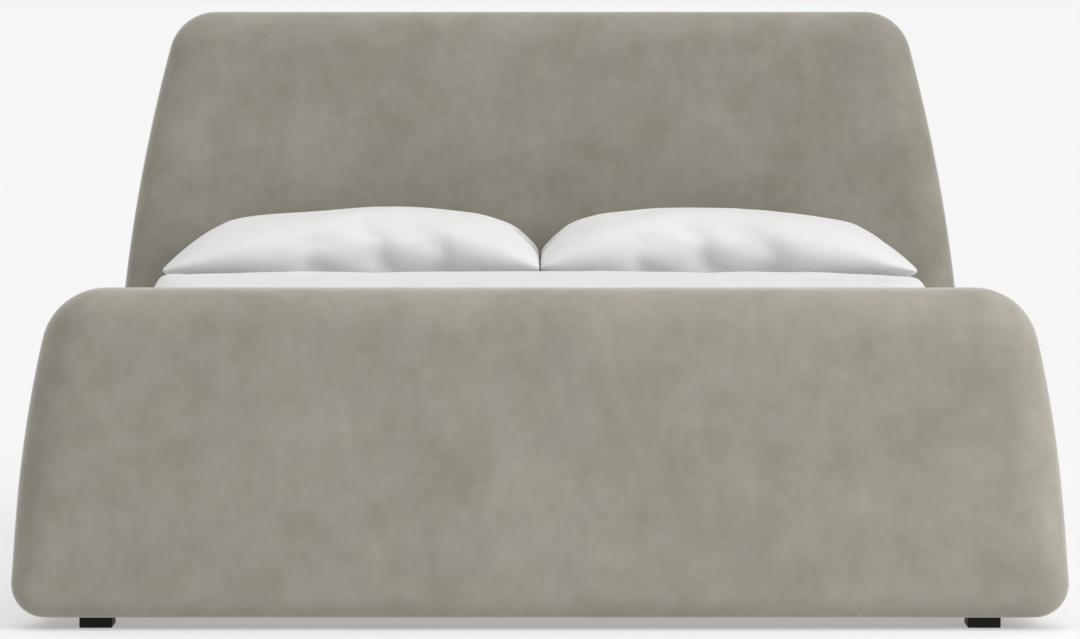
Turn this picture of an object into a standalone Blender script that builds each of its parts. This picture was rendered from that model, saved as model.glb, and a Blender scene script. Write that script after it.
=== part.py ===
"""Upholstered sleigh bed, queen size, with its mattress, duvet and two pillows.

The tall headboard and the low footboard share one outline family: wide at the floor, with sides that
draw in along a parabola and with round corners. Each is a timber frame inside a foam wrap inside a fabric
cover. Two padded side rails sweep up where they meet the boards. Slats lie on two ledgers and a centre
beam, whose legs end in screw levellers.

Metres, +Z up, X across the bed, Y along it with the headboard at +Y. The origin is on the floor, under the
centre of the whole bed.
"""

import math

import bmesh
import bpy
from mathutils import Matrix, Vector


def spread(low, high, count):
    """count values from low to high, both included."""
    return [low + (high - low) * i / (count - 1) for i in range(count)]


# ---------------------------------------------------------------- driving dimensions
MATTRESS_WIDTH = 1.524
MATTRESS_LENGTH = 2.032
MATTRESS_THICKNESS = 0.268
BED_WIDTH = 1.832
HEADBOARD_HEIGHT = 1.089
FOOTBOARD_HEIGHT = 0.589
HEADBOARD_THICKNESS = 0.160
FOOTBOARD_THICKNESS = 0.140
FOOT_HEIGHT = 0.020
TUCK_ROOM = 0.016  # between the mattress and what stands round it, for the duvet's hanging edge

# ---------------------------------------------------------------- shape of the two boards
SIDE_DRAW_IN = 0.132  # how far the side has drawn in at the top, as a share of the board's height
SIDE_CURVE = 2.1  # power of the height by which it draws in
HEADBOARD_CORNER = 0.100
FOOTBOARD_CORNER = 0.110
BASE_CORNER = 0.060
SHOW_EDGE = 0.056  # rounding round the face that shows: the headboard's front, the footboard's outside
HIDDEN_EDGE = 0.033  # rounding round the other face
HEADBOARD_ROLL = 0.070  # how far the headboard's top rolls back
ROLL_START = 0.500  # height at which it starts to
FOOTBOARD_FLARE = 0.020  # how far the footboard's outside leans out at its top
FLARE_START = 0.080

# ---------------------------------------------------------------- upholstery
COVER = 0.002
FOAM = 0.022
GAP = 0.0006  # kept between nested layers
FRAME_ROOM = 0.003  # kept between the foam and the timber frame
FRAME_WINDOWS = 6  # spaces between the timber frame's studs
WINDOW_WIDTH = 0.178
STUD_WIDTH = 0.055
WINDOW_SILL = 0.200  # height of the windows' lower edge
WINDOW_HEADER = 0.100  # from their upper edge to the board's top
WINDOW_CUT = 0.6  # length of the cut, well past both faces
DUST_CLOTH_THICK = 0.0015
DUST_CLOTH_SET_IN = (0.006, 0.003)  # from the ends and from the long edges of a board's flat underside
TOUCH = 0.0003  # kept between pieces that rest on each other

# ---------------------------------------------------------------- side rails
RAIL_SET_IN = 0.030  # the rail's outside stands this far inside the boards' sides
RAIL_TOP = 0.360
RAIL_SWEEP = 0.220  # radius of the sweep up to a board
SWEEP_AT_HEAD = 0.122  # how far it rises
SWEEP_AT_FOOT = 0.100
RAIL_OUTER_EDGE = 0.034
RAIL_INNER_EDGE = 0.014
RAIL_BOARD = (0.022, 0.280)  # thickness and height of the timber inside
RAIL_BOARD_LIFT = 0.010  # of its lower edge above the rail's base
RAIL_LEVELS = (0.12, 0.20, 0.28, 0.34)  # where the outer face may bend
RAIL_STATIONS = spread(-0.60, 0.60, 5)

# ---------------------------------------------------------------- base
SLAT_COUNT = 12
SLAT_SIZE = (1.540, 0.090, 0.018)
SLAT_SUPPORT = 0.222  # height of the ledgers' and the beam's top
END_SLAT_IN = 0.075  # from the end of the well to the middle of the last slat
STRAP = (0.030, 0.0012)
STRAP_FROM_CENTRE = 0.42
STRAP_PAST_SLAT = 0.04  # past the middle of the last slat
LEDGER_END_ROOM = 0.020
END_ROOM = 0.006  # from a long timber's end to the headboard or footboard
LEDGER = (0.030, 0.045)
BEAM = (0.045, 0.090)
HANGER = (0.003, 0.060, 0.024)  # steel, lap under the beam and width of each fixing tab
HANGER_BELOW_TOP = 0.006
TAB_SHORTER = 0.005  # than the hanger, above and below
LEG_SPACING = 1.000
LEG_RADIUS = 0.020
LEG_END = 0.030  # height of the leg's lower end
LEG_FLANGE = (0.030, 0.035, 0.004)  # half width, half length and thickness
LEG_BORE_LENGTH = 0.120
BORE_ROOM = 0.0005  # round the stem
PAD_RADIUS = 0.022
PAD_HEIGHT = 0.010
STEM_RADIUS = 0.004
STEM_BASE = 0.004
STEM_IN_LEG = 0.048
STEM_NUT = (0.0085, 0.006, 0.019)  # radius over the corners, height and level of its middle
SOCKET_DEPTH = 0.020
FOOT_SIZE = (0.057, 0.080)
FOOT_BEHIND_FACE = 0.058  # from the face that shows to the foot's front
FOOT_FROM_CENTRE = 0.770
BRACKET = (0.056, 0.100, 0.004)  # leg, height and thickness of the steel angle
BRACKET_BASE = 0.062
BOLT_RADIUS = 0.004
BOLT_LENGTH = 0.055
BOLT_FROM_MIDDLE = 0.027
BOLT_HEAD = (0.0075, 0.0055)  # radius over the corners and height
WASHER = (0.0095, 0.0015)  # radius and thickness
BOLT_HOLE_LENGTH = 0.16
BOLT_HOLE_SHIFT = 0.015  # of the hole's middle from the end of the well

# ---------------------------------------------------------------- bedding
MATTRESS_CORNER = 0.070
MATTRESS_EDGE = 0.025
DUVET_CORNER = 0.060
DUVET_EDGE = 0.020
HOLLOW_EDGE = 0.008
DUVET_ROOM = (0.0012, 0.001)  # outside and inside the duvet's hanging edge
DUVET_LOFT = 0.030
DUVET_HEM = 0.009
DUVET_DROP = 0.130
DUVET_TO_PILLOW = 0.030
PILLOW_SIZE = (0.762, 0.500, 0.168)
PILLOW_FROM_HEADBOARD = 0.025
PILLOW_FROM_CENTRE = 0.001
PILLOW_CUTS = 7
PILLOW_POWERS = (3.0, 2.6)  # across and along; more is fuller towards the seam
PILLOW_WAIST = 0.035
PILLOW_SEAM = 0.10  # thickness at the seam as a share of the middle's

# ---------------------------------------------------------------- derived places
HALF_WIDTH = BED_WIDTH / 2
RAIL_INSIDE = MATTRESS_WIDTH / 2 + TUCK_ROOM
WELL_LENGTH = MATTRESS_LENGTH + 2 * TUCK_ROOM
FOOT_END = -WELL_LENGTH / 2  # inner face of the footboard
HEAD_END = WELL_LENGTH / 2  # inner face of the headboard
SLAT_TOP = SLAT_SUPPORT + TOUCH + SLAT_SIZE[2]
MATTRESS_BASE = SLAT_TOP + STRAP[1] + 2 * TOUCH
MATTRESS_TOP = MATTRESS_BASE + MATTRESS_THICKNESS
SIDES = {"left": -1, "right": 1}
ENDS = {"foot": -1, "head": 1}


# ---------------------------------------------------------------- scene helpers
def clear_scene():
    for old in list(bpy.data.objects):
        bpy.data.objects.remove(old, do_unlink=True)


def new_collection(name):
    made = bpy.data.collections.new(name)
    bpy.context.scene.collection.children.link(made)
    return made


def material(name, colour, roughness, metallic=0.0):
    made = bpy.data.materials.new(name)
    made.use_nodes = True
    shader = made.node_tree.nodes["Principled BSDF"]
    shader.inputs["Base Color"].default_value = (*colour, 1.0)
    shader.inputs["Roughness"].default_value = roughness
    shader.inputs["Metallic"].default_value = metallic
    return made


clear_scene()
BED = new_collection("sleigh_bed")
CUTTERS = new_collection("cutters")
CUTTERS.hide_render = True
CENTRE = bpy.data.objects.new("bed_centre", None)
BED.objects.link(CENTRE)

VELVET = material("velvet", (0.30, 0.28, 0.24), 0.85)
FOAM_PAD = material("foam", (0.86, 0.82, 0.66), 0.90)
PINE = material("pine", (0.72, 0.55, 0.36), 0.60)
PLYWOOD = material("plywood", (0.66, 0.50, 0.33), 0.65)
DUST_CLOTH = material("dust_cloth", (0.03, 0.03, 0.03), 0.95)
BLACK_PLASTIC = material("black_plastic", (0.02, 0.02, 0.022), 0.45)
BLACK_STEEL = material("black_steel", (0.05, 0.05, 0.055), 0.40, 0.9)
ZINC = material("zinc", (0.62, 0.62, 0.60), 0.35, 1.0)
WEBBING = material("webbing", (0.12, 0.12, 0.13), 0.90)
TICKING = material("mattress_ticking", (0.86, 0.86, 0.84), 0.85)
COTTON = material("white_cotton", (0.90, 0.90, 0.89), 0.85)


def add(name, mesh, finish, collection=BED):
    """A new object of this mesh. Parts and cutters both hang on the bed's centre, so they stay together."""
    made = bpy.data.objects.new(name, mesh)
    mesh.materials.clear()
    mesh.materials.append(finish)
    collection.objects.link(made)
    made.parent = CENTRE
    return made


def from_bmesh(name, shape, finish, collection=BED):
    shape.normal_update()
    bmesh.ops.recalc_face_normals(shape, faces=shape.faces)
    mesh = bpy.data.meshes.new(name)
    shape.to_mesh(mesh)
    shape.free()
    return add(name, mesh, finish, collection)


def smooth(part, angle=40):
    part.data.shade_smooth()
    part.data.set_sharp_from_angle(angle=math.radians(angle))
    return part


def box(name, low, high, finish, bevel=0.0, collection=BED):
    shape = bmesh.new()
    bmesh.ops.create_cube(shape, size=1.0)
    size = [b - a for a, b in zip(low, high)]
    bmesh.ops.scale(shape, vec=size, verts=shape.verts)
    made = from_bmesh(name, shape, finish, collection)
    made.location = [(a + b) / 2 for a, b in zip(low, high)]
    if bevel:
        edge = made.modifiers.new("eased_edges", "BEVEL")
        edge.width = bevel
        edge.segments = 1
    return made


def cylinder(shape, radius, length, centre, axis="Z", sides=20):
    """Adds a closed cylinder to a bmesh."""
    turn = {
        "X": Matrix.Rotation(math.pi / 2, 4, "Y"),
        "Y": Matrix.Rotation(math.pi / 2, 4, "X"),
        "Z": Matrix.Identity(4),
    }[axis]
    bmesh.ops.create_cone(
        shape,
        cap_ends=True,
        segments=sides,
        radius1=radius,
        radius2=radius,
        depth=length,
        matrix=Matrix.Translation(centre) @ turn,
    )


def boolean(part, other, operation="DIFFERENCE"):
    other.hide_render = True
    other.display_type = "WIRE"
    step = part.modifiers.new(operation.lower(), "BOOLEAN")
    step.operation = operation
    step.object = other


def flat_outline(name, points, half_depth):
    """The mesh of a filled 2D curve through these points, extruded both ways along its local Z."""
    area = sum(a[0] * b[1] - a[1] * b[0] for a, b in zip(points, [*points[1:], points[0]]))
    if area > 0:
        points = list(reversed(points))
    curve = bpy.data.curves.new(name, "CURVE")
    curve.dimensions = "2D"
    curve.fill_mode = "BOTH"
    curve.extrude = half_depth
    line = curve.splines.new("POLY")
    line.points.add(len(points) - 1)
    for point, place in zip(line.points, points):
        point.co = (*place, 0.0, 1.0)
    line.use_cyclic_u = True
    guide = bpy.data.objects.new(name, curve)
    BED.objects.link(guide)
    bpy.context.view_layer.update()
    evaluated = guide.evaluated_get(bpy.context.evaluated_depsgraph_get())
    shape = bmesh.new()
    shape.from_mesh(bpy.data.meshes.new_from_object(evaluated))
    bpy.data.objects.remove(guide)
    bmesh.ops.remove_doubles(shape, verts=shape.verts, dist=1e-5)
    shape.normal_update()
    bmesh.ops.recalc_face_normals(shape, faces=shape.faces)
    inner = [e for e in shape.edges if e.calc_face_angle(1.0) < 1e-3]
    bmesh.ops.dissolve_edges(shape, edges=inner, use_verts=False)
    return shape


def slice_level(shape, axis, levels):
    """Cuts a bmesh at each level of one axis, so that its long faces can bend there."""
    normal = Vector((axis == "X", axis == "Y", axis == "Z"))
    for level in levels:
        bmesh.ops.bisect_plane(
            shape,
            geom=[*shape.verts, *shape.edges, *shape.faces],
            dist=1e-5,
            plane_co=normal * level,
            plane_no=normal,
        )


def split_bent_faces(shape):
    """Splits every face that bending has left out of flat, so that it can be cut cleanly."""
    shape.normal_update()
    bmesh.ops.connect_verts_nonplanar(shape, angle_limit=math.radians(0.02), faces=shape.faces)


# ---------------------------------------------------------------- the boards' common form
def side_at(height, z):
    """Half width of a board of that height, at level z."""
    return HALF_WIDTH - SIDE_DRAW_IN * height * (z / height) ** SIDE_CURVE


def side_slope(height, z):
    """Angle of the side from upright at level z."""
    return math.atan(SIDE_CURVE * SIDE_DRAW_IN * (z / height) ** (SIDE_CURVE - 1))


def board_outline(height, corner, inset):
    """Outline of a board seen from the foot of the bed, as (x, z), set in by this much all round."""
    top_tangent = height - corner
    for _ in range(4):
        top_tangent = height - corner + corner * math.sin(side_slope(height, top_tangent))
    slope = side_slope(height, top_tangent)
    top_centre = (side_at(height, top_tangent) - corner * math.cos(slope), height - corner)
    base_centre = (side_at(height, FOOT_HEIGHT) - BASE_CORNER, FOOT_HEIGHT + BASE_CORNER)
    right = []
    for angle in spread(-math.pi / 2, 0, 5):
        reach = BASE_CORNER - inset
        right.append((base_centre[0] + reach * math.cos(angle), base_centre[1] + reach * math.sin(angle)))
    for z in spread(FOOT_HEIGHT + BASE_CORNER, top_tangent, 6)[1:-1]:
        lean = side_slope(height, z)
        right.append((side_at(height, z) - inset * math.cos(lean), z - inset * math.sin(lean)))
    for angle in spread(slope, math.pi / 2, 6):
        reach = corner - inset
        right.append((top_centre[0] + reach * math.cos(angle), top_centre[1] + reach * math.sin(angle)))
    return right + [(-x, z) for x, z in reversed(right)]


def headboard_shift(y, z):
    """The whole headboard rolls back above the mattress."""
    share = max(0.0, z - ROLL_START) / (HEADBOARD_HEIGHT - ROLL_START)
    return y + HEADBOARD_ROLL * share**2


def footboard_shift(y, z):
    """Only the footboard's outside leans out."""
    share = max(0.0, z - FLARE_START) / (FOOTBOARD_HEIGHT - FLARE_START)
    outward = (FOOT_END - y) / FOOTBOARD_THICKNESS
    return y - FOOTBOARD_FLARE * share * min(1.0, max(0.0, outward))


BOARDS = {
    "headboard": {
        "height": HEADBOARD_HEIGHT,
        "corner": HEADBOARD_CORNER,
        "front": (HEAD_END, SHOW_EDGE),
        "back": (HEAD_END + HEADBOARD_THICKNESS, HIDDEN_EDGE),
        "levels": spread(ROLL_START, HEADBOARD_HEIGHT, 8)[:-1],
        "shift": headboard_shift,
    },
    "footboard": {
        "height": FOOTBOARD_HEIGHT,
        "corner": FOOTBOARD_CORNER,
        "front": (FOOT_END - FOOTBOARD_THICKNESS, SHOW_EDGE),
        "back": (FOOT_END, HIDDEN_EDGE),
        "levels": [FLARE_START],
        "shift": footboard_shift,
    },
}


def board_form(board, inset, chamfer=False):
    """The closed form of a board as a bmesh, set in on every side, with round or chamfered edges."""
    low, low_edge = board["front"]
    high, high_edge = board["back"]
    low, high = low + inset, high - inset
    shape = flat_outline(
        "board_outline",
        board_outline(board["height"], board["corner"], inset),
        (high - low) / 2,
    )
    stand_up = Matrix.Translation((0, (low + high) / 2, 0)) @ Matrix.Rotation(math.pi / 2, 4, "X")
    bmesh.ops.transform(shape, matrix=stand_up, verts=shape.verts)
    for place, edge, steps in ((low, low_edge, 4), (high, high_edge, 2)):
        rim = [e for e in shape.edges if all(abs(v.co.y - place) < 1e-5 for v in e.verts)]
        bmesh.ops.bevel(
            shape,
            geom=rim,
            offset=edge - inset,
            offset_type="OFFSET",
            segments=1 if chamfer else steps,
            profile=0.5,
            affect="EDGES",
            clamp_overlap=True,
        )
    slice_level(shape, "Z", board["levels"])
    for v in shape.verts:
        v.co.y = board["shift"](v.co.y, v.co.z)
    split_bent_faces(shape)
    return shape


def open_base(shape):
    """Takes away the flat underside, so that what is left can be a shell with an open base."""
    base = min(v.co.z for v in shape.verts)
    flat = [f for f in shape.faces if all(v.co.z < base + 1e-4 for v in f.verts)]
    bmesh.ops.delete(shape, geom=flat, context="FACES")


def board_shell(name, board, inset, thickness, finish):
    shape = board_form(board, inset)
    open_base(shape)
    made = from_bmesh(name, shape, finish)
    wall = made.modifiers.new("wall", "SOLIDIFY")
    wall.thickness = thickness
    wall.offset = -1.0
    wall.use_even_offset = True
    return smooth(made)


def board_frame(name, board, finish):
    """The timber frame: a rim and upright studs, with the spaces between them cut right through."""
    inset = COVER + GAP + FOAM + FRAME_ROOM
    made = from_bmesh(name, board_form(board, inset, chamfer=True), finish)
    low, high = WINDOW_SILL, board["height"] - WINDOW_HEADER
    pitch = WINDOW_WIDTH + STUD_WIDTH
    middle = (board["front"][0] + board["back"][0]) / 2
    shape = bmesh.new()
    for i in range(FRAME_WINDOWS):
        centre = Vector(((i - (FRAME_WINDOWS - 1) / 2) * pitch, middle, (low + high) / 2))
        stretch = Matrix.Diagonal((WINDOW_WIDTH, WINDOW_CUT, high - low, 1.0))
        bmesh.ops.create_cube(shape, size=1.0, matrix=Matrix.Translation(centre) @ stretch)
    boolean(made, from_bmesh(name + "_windows", shape, finish, CUTTERS))


def build_board(kind):
    board = BOARDS[kind]
    board_shell(kind + "_cover", board, 0.0, COVER, VELVET)
    board_shell(kind + "_foam", board, COVER + GAP, FOAM, FOAM_PAD)
    board_frame(kind + "_frame", board, PINE)
    front, back = board["front"][0] + board["front"][1], board["back"][0] - board["back"][1]
    from_ends, from_edges = DUST_CLOTH_SET_IN
    half = side_at(board["height"], FOOT_HEIGHT) - BASE_CORNER - from_ends
    base = FOOT_HEIGHT + TOUCH
    low, high = (-half, front + from_edges, base), (half, back - from_edges, base + DUST_CLOTH_THICK)
    box(kind + "_dust_cloth", low, high, DUST_CLOTH)


# ---------------------------------------------------------------- side rails
def rail_draw_in(y, z):
    """How far the rail's outer face has drawn in, between what the two boards' own sides do."""
    share = (y - FOOT_END) / WELL_LENGTH
    return HALF_WIDTH - (1 - share) * side_at(FOOTBOARD_HEIGHT, z) - share * side_at(HEADBOARD_HEIGHT, z)


def rail_top_line(inset):
    """The rail's upper edge as (y, z), from the head end to the foot end."""
    line = []
    for end, rise in ((1, SWEEP_AT_HEAD), (-1, SWEEP_AT_FOOT)):
        steep = math.acos(1 - rise / RAIL_SWEEP)
        start = WELL_LENGTH / 2 - RAIL_SWEEP * math.sin(steep)
        radius = RAIL_SWEEP + inset
        reach = WELL_LENGTH / 2 - TOUCH - inset
        sweep = []
        for angle in spread(0.0, math.asin((reach - start) / radius), 6):
            y = start + radius * math.sin(angle)
            sweep.append((end * y, RAIL_TOP + RAIL_SWEEP - radius * math.cos(angle)))
        line += reversed(sweep) if end == 1 else sweep
    return line


def rail_form(inset):
    """The closed form of the right-hand rail, set in by inset, as a bmesh."""
    reach = WELL_LENGTH / 2 - TOUCH - inset
    base = FOOT_HEIGHT + inset
    inside, outside = RAIL_INSIDE + inset, HALF_WIDTH - RAIL_SET_IN - inset
    outline = [(-reach, base), (reach, base), *rail_top_line(inset)]
    shape = flat_outline("rail_outline", outline, (outside - inside) / 2)
    stand_up = Matrix(((0, 0, 1, (inside + outside) / 2), (1, 0, 0, 0), (0, 1, 0, 0), (0, 0, 0, 1)))
    bmesh.ops.transform(shape, matrix=stand_up, verts=shape.verts)
    for place, edge, steps in ((outside, RAIL_OUTER_EDGE, 4), (inside, RAIL_INNER_EDGE, 2)):
        rim = [
            e
            for e in shape.edges
            if all(abs(v.co.x - place) < 1e-5 for v in e.verts)
            and abs(e.verts[0].co.y - e.verts[1].co.y) > 1e-4
            and (place == outside or min(v.co.z for v in e.verts) > RAIL_TOP / 2)
        ]
        bmesh.ops.bevel(
            shape,
            geom=rim,
            offset=edge - inset,
            offset_type="OFFSET",
            segments=steps,
            profile=0.5,
            affect="EDGES",
            clamp_overlap=True,
        )
    slice_level(shape, "Z", RAIL_LEVELS)
    slice_level(shape, "Y", RAIL_STATIONS)
    bend_from = RAIL_INSIDE + RAIL_BOARD[0] + 2 * FRAME_ROOM
    bend_to = HALF_WIDTH - RAIL_SET_IN - RAIL_OUTER_EDGE
    for v in shape.verts:
        share = min(1.0, max(0.0, (v.co.x - bend_from) / (bend_to - bend_from)))
        v.co.x -= share * rail_draw_in(v.co.y, v.co.z)
    split_bent_faces(shape)
    return shape


def put_on_side(shape, side):
    if side < 0:
        bmesh.ops.scale(shape, vec=(-1, 1, 1), verts=shape.verts)
        bmesh.ops.reverse_faces(shape, faces=shape.faces)


def build_rail(word, side):
    cover_form = rail_form(0.0)
    open_base(cover_form)
    put_on_side(cover_form, side)
    cover = from_bmesh(f"side_rail_{word}_cover", cover_form, VELVET)
    wall = cover.modifiers.new("wall", "SOLIDIFY")
    wall.thickness = COVER
    wall.offset = -1.0
    wall.use_even_offset = True
    smooth(cover)

    foam_form = rail_form(COVER + 3 * GAP)
    put_on_side(foam_form, side)
    foam = smooth(from_bmesh(f"side_rail_{word}_foam", foam_form, FOAM_PAD))
    thick, high = RAIL_BOARD
    near, far = RAIL_INSIDE + COVER + GAP, RAIL_INSIDE + COVER + GAP + thick
    base, reach = FOOT_HEIGHT + RAIL_BOARD_LIFT, WELL_LENGTH / 2 - END_ROOM
    low = (min(side * near, side * far), -reach, base)
    high_corner = (max(side * near, side * far), reach, base + high)
    box(f"side_rail_{word}_board", low, high_corner, PLYWOOD)
    room = 2 * GAP
    cut_low = (min(side * (near - 0.05), side * (far + room)), -2.0, -0.5)
    cut_high = (max(side * (near - 0.05), side * (far + room)), 2.0, base + high + room)
    boolean(foam, box(f"side_rail_{word}_slot", cut_low, cut_high, FOAM_PAD, collection=CUTTERS))


# ---------------------------------------------------------------- corner brackets and bolts
def build_corner(end_word, end, side_word, side):
    """A steel angle that ties a rail to a board below the slats, and the two bolts that hold it."""
    leg, high, thick = BRACKET
    inner = RAIL_INSIDE - TOUCH
    wall = WELL_LENGTH / 2 - TOUCH
    points = [
        (inner, wall),
        (inner - leg, wall),
        (inner - leg, wall - thick),
        (inner - thick, wall - thick),
        (inner - thick, wall - leg),
        (inner, wall - leg),
    ]
    where = f"{end_word}_{side_word}"
    shape = flat_outline("bracket_outline", [(side * x, end * y) for x, y in points], high / 2)
    middle = BRACKET_BASE + high / 2
    bmesh.ops.translate(shape, vec=(0, 0, middle), verts=shape.verts)
    bracket = from_bmesh("corner_bracket_" + where, shape, BLACK_STEEL)
    bolt_x = side * (inner - thick - (leg - thick) / 2)
    holes = bmesh.new()
    for word, offset in (("lower", -BOLT_FROM_MIDDLE), ("upper", BOLT_FROM_MIDDLE)):
        z = middle + offset
        seat = end * (wall - thick)
        shape = bmesh.new()
        head, washer = BOLT_HEAD[1], WASHER[1]
        shank = BOLT_LENGTH + head / 2
        cylinder(shape, BOLT_RADIUS, shank, (bolt_x, seat + end * (shank / 2 - head / 2), z), "Y", 14)
        bolt = from_bmesh(f"bracket_bolt_{where}_{word}", shape, ZINC)
        cap = bmesh.new()
        head_middle = seat - end * (head / 2 + washer + TOUCH - 1e-4)
        cylinder(cap, BOLT_HEAD[0], head, (bolt_x, head_middle, z), "Y", 6)
        boolean(bolt, from_bmesh(bolt.name + "_head", cap, ZINC, CUTTERS), "UNION")
        plate = bmesh.new()
        cylinder(plate, WASHER[0], washer, (bolt_x, seat - end * (washer / 2 + TOUCH), z), "Y", 20)
        boolean(bolt, from_bmesh(bolt.name + "_washer", plate, ZINC, CUTTERS), "UNION")
        smooth(bolt, 30)
        hole_middle = end * (WELL_LENGTH / 2 - BOLT_HOLE_SHIFT)
        cylinder(holes, BOLT_RADIUS + GAP, BOLT_HOLE_LENGTH, (bolt_x, hole_middle, z), "Y", 14)
    cutter = from_bmesh("bolt_holes_" + where, holes, ZINC, CUTTERS)
    board = end_word + "board"
    for part in (bracket, *(bpy.data.objects[f"{board}_{layer}"] for layer in ("cover", "foam", "frame"))):
        boolean(part, cutter)


# ---------------------------------------------------------------- slats, ledgers and centre beam
def build_base():
    wide, tall = LEDGER
    for word, side in SIDES.items():
        near, far = side * (RAIL_INSIDE - TOUCH), side * (RAIL_INSIDE - TOUCH - wide)
        reach = WELL_LENGTH / 2 - LEDGER_END_ROOM
        box(
            "slat_ledger_" + word,
            (min(near, far), -reach, SLAT_SUPPORT - tall),
            (max(near, far), reach, SLAT_SUPPORT),
            PINE,
            bevel=0.0015,
        )
    length, wide, thick = SLAT_SIZE
    first = WELL_LENGTH / 2 - END_SLAT_IN
    for i, y in enumerate(spread(-first, first, SLAT_COUNT)):
        box(
            f"slat_{i + 1:02d}",
            (-length / 2, y - wide / 2, SLAT_SUPPORT + TOUCH),
            (length / 2, y + wide / 2, SLAT_TOP),
            PINE,
            bevel=0.002,
        )
    for word, side in SIDES.items():
        centre, half = side * STRAP_FROM_CENTRE, STRAP[0] / 2
        box(
            "slat_strap_" + word,
            (centre - half, -first - STRAP_PAST_SLAT, SLAT_TOP + TOUCH),
            (centre + half, first + STRAP_PAST_SLAT, SLAT_TOP + TOUCH + STRAP[1]),
            WEBBING,
        )


def build_beam():
    wide, tall = BEAM
    reach = WELL_LENGTH / 2 - END_ROOM
    base = SLAT_SUPPORT - tall
    box("centre_beam", (-wide / 2, -reach, base), (wide / 2, reach, SLAT_SUPPORT), PINE, bevel=0.002)
    steel, lap, tab = HANGER
    inner = wide / 2 + GAP
    outer = inner + steel
    low, high = base - TOUCH - steel, SLAT_SUPPORT - HANGER_BELOW_TOP
    for word, end in ENDS.items():
        wall = end * (WELL_LENGTH / 2 - TOUCH)
        near = sorted((wall - end * lap, wall))
        hanger = box("beam_hanger_" + word, (-outer, near[0], low), (outer, near[1], high), BLACK_STEEL)
        deep = sorted((wall - end * 2 * lap, wall - end * steel))
        slot_low, slot_high = (-inner, deep[0], base - TOUCH), (inner, deep[1], SLAT_SUPPORT + 0.05)
        boolean(hanger, box("beam_slot_" + word, slot_low, slot_high, BLACK_STEEL, collection=CUTTERS))
        thin = sorted((wall - end * steel, wall))
        plate_low = (-outer - tab, thin[0], low + TAB_SHORTER)
        plate_high = (outer + tab, thin[1], high - TAB_SHORTER)
        plate = box("beam_plate_" + word, plate_low, plate_high, BLACK_STEEL, collection=CUTTERS)
        boolean(hanger, plate, "UNION")


def build_centre_leg(word, end):
    """A leg under the beam. Its leveller is a threaded stem that turns in a swivelling pad."""
    y = end * LEG_SPACING / 2
    top = SLAT_SUPPORT - BEAM[1] - TOUCH
    half_wide, half_long, plate = LEG_FLANGE
    shape = bmesh.new()
    cylinder(shape, LEG_RADIUS, top - plate / 2 - LEG_END, (0, y, (top - plate / 2 + LEG_END) / 2), "Z", 24)
    leg = from_bmesh("centre_leg_" + word, shape, BLACK_STEEL)
    flange = box(
        f"centre_leg_{word}_flange",
        (-half_wide, y - half_long, top - plate),
        (half_wide, y + half_long, top),
        BLACK_STEEL,
        collection=CUTTERS,
    )
    boolean(leg, flange, "UNION")
    bore = bmesh.new()
    cylinder(bore, STEM_RADIUS + BORE_ROOM, LEG_BORE_LENGTH, (0, y, LEG_END), "Z", 16)
    boolean(leg, from_bmesh(f"centre_leg_{word}_bore", bore, BLACK_STEEL, CUTTERS))
    smooth(leg)

    shape = bmesh.new()
    stem_top = LEG_END + STEM_IN_LEG
    cylinder(shape, STEM_RADIUS, stem_top - STEM_BASE, (0, y, (STEM_BASE + stem_top) / 2), "Z", 16)
    stem = from_bmesh("leveller_stem_" + word, shape, ZINC)
    nut = bmesh.new()
    cylinder(nut, STEM_NUT[0], STEM_NUT[1], (0, y, STEM_NUT[2]), "Z", 6)
    boolean(stem, from_bmesh(f"leveller_stem_{word}_nut", nut, ZINC, CUTTERS), "UNION")
    smooth(stem, 30)

    shape = bmesh.new()
    cylinder(shape, PAD_RADIUS, PAD_HEIGHT, (0, y, PAD_HEIGHT / 2), "Z", 28)
    pad = from_bmesh("leveller_pad_" + word, shape, BLACK_PLASTIC)
    socket = bmesh.new()
    socket_middle = STEM_BASE - TOUCH + SOCKET_DEPTH / 2
    cylinder(socket, STEM_RADIUS + BORE_ROOM, SOCKET_DEPTH, (0, y, socket_middle), "Z", 16)
    boolean(pad, from_bmesh(f"leveller_pad_{word}_socket", socket, BLACK_PLASTIC, CUTTERS))
    smooth(pad)


def build_feet():
    wide, deep = FOOT_SIZE
    for end_word in ENDS:
        front = BOARDS[end_word + "board"]["front"][0] + FOOT_BEHIND_FACE
        for side_word, side in SIDES.items():
            x = side * FOOT_FROM_CENTRE
            low, high = (x - wide / 2, front, 0.0), (x + wide / 2, front + deep, FOOT_HEIGHT)
            box(f"foot_{end_word}_{side_word}", low, high, BLACK_PLASTIC, bevel=0.0015)


# ---------------------------------------------------------------- mattress and bedding
def rounded_block(name, low, high, corner, edge, finish, collection=BED):
    """A box whose four upright corners are round and whose long edges are softened."""
    shape = bmesh.new()
    bmesh.ops.create_cube(shape, size=1.0)
    bmesh.ops.scale(shape, vec=[b - a for a, b in zip(low, high)], verts=shape.verts)
    upright = [e for e in shape.edges if abs(e.verts[0].co.z - e.verts[1].co.z) > 1e-4]
    bmesh.ops.bevel(shape, geom=upright, offset=corner, segments=5, profile=0.5, affect="EDGES")
    half = (high[2] - low[2]) / 2
    flat = [f for f in shape.faces if abs(f.calc_center_median().z) > half - 1e-5]
    level = [e for f in flat for e in f.edges]
    bmesh.ops.bevel(shape, geom=level, offset=edge, segments=3, profile=0.5, affect="EDGES")
    made = from_bmesh(name, shape, finish, collection)
    made.location = [(a + b) / 2 for a, b in zip(low, high)]
    return smooth(made)


def build_mattress():
    rounded_block(
        "mattress",
        (-MATTRESS_WIDTH / 2, -MATTRESS_LENGTH / 2, MATTRESS_BASE),
        (MATTRESS_WIDTH / 2, MATTRESS_LENGTH / 2, MATTRESS_TOP),
        MATTRESS_CORNER,
        MATTRESS_EDGE,
        TICKING,
    )


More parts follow.
